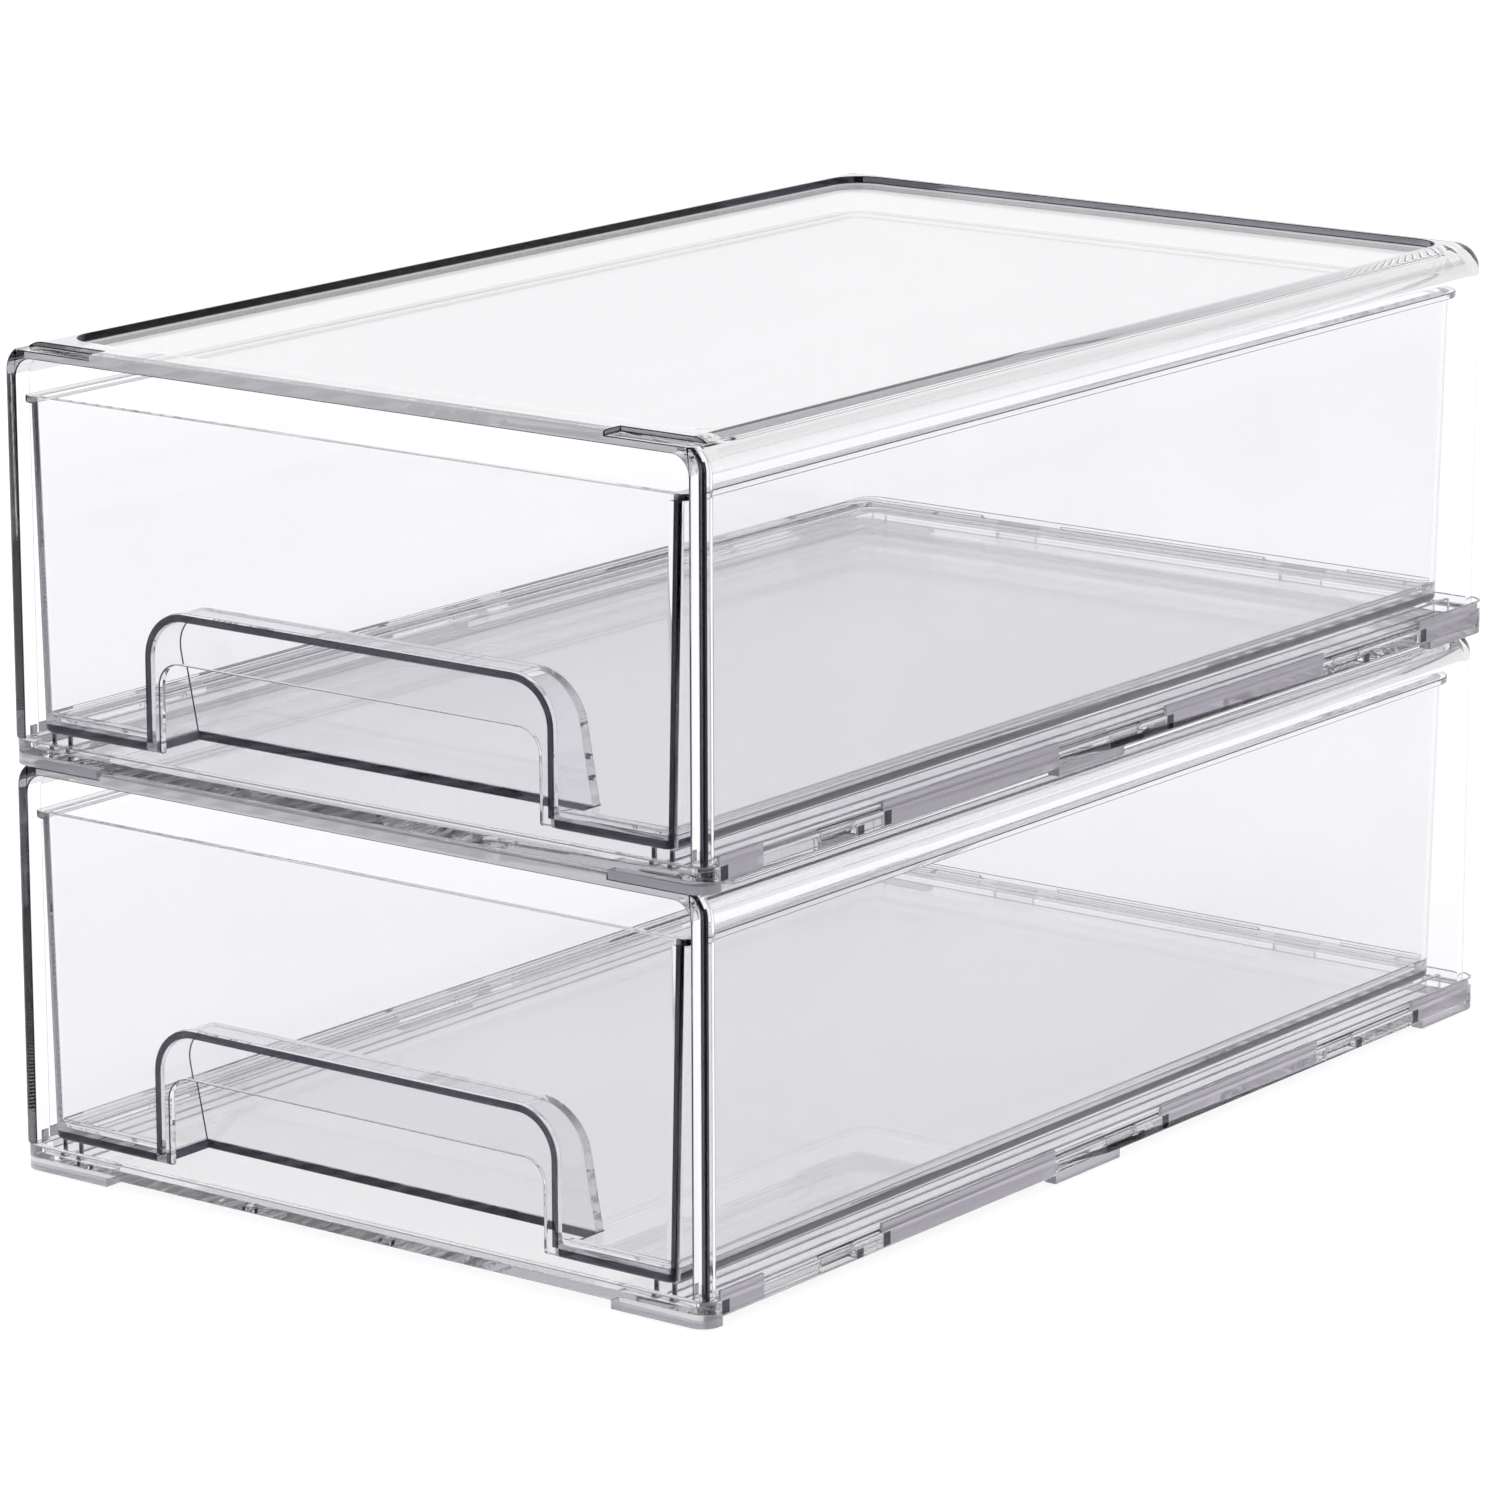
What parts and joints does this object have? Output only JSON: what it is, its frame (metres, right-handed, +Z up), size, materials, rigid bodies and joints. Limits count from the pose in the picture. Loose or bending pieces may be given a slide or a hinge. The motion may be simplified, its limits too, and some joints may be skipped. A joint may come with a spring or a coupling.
{
  "type": "fridge bin",
  "caption": "Stack of clear pull-out refrigerator drawers, each a sleeve-like housing snapped on a footed base round a tray with a recessed finger pull.",
  "frame": {"origin": "centre of the underside, on the plane of the lower base's feet", "axes": "+Z up, the drawers' fronts face -Y and pull out along -Y, +X to the right of someone facing the drawers"},
  "size_m": [0.2118, 0.3372, 0.205],
  "materials": {
    "clear_base": "polished clear styrene moulding, slightly violet at its edges",
    "clear_housing": "polished clear styrene moulding",
    "clear_drawer": "polished clear styrene moulding"
  },
  "bodies": {
    "lower_tier": {"lower_base": "clear_base", "lower_housing": "clear_housing"},
    "lower_drawer": {"lower_drawer": "clear_drawer"},
    "upper_tier": {"upper_base": "clear_base", "upper_housing": "clear_housing"},
    "upper_drawer": {"upper_drawer": "clear_drawer"}
  },
  "joints": [
    {"name": "lower_drawer_slide", "type": "slide", "parent": "lower_tier", "child": "lower_drawer", "axis": [0, -1, 0], "range_m": [0, 0.3]},
    {"name": "upper_tier_lift", "type": "slide", "parent": "lower_tier", "child": "upper_tier", "axis": [0, 0, 1], "range_m": [0, 0.05]},
    {"name": "upper_drawer_slide", "type": "slide", "parent": "upper_tier", "child": "upper_drawer", "axis": [0, -1, 0], "range_m": [0, 0.3]}
  ]
}
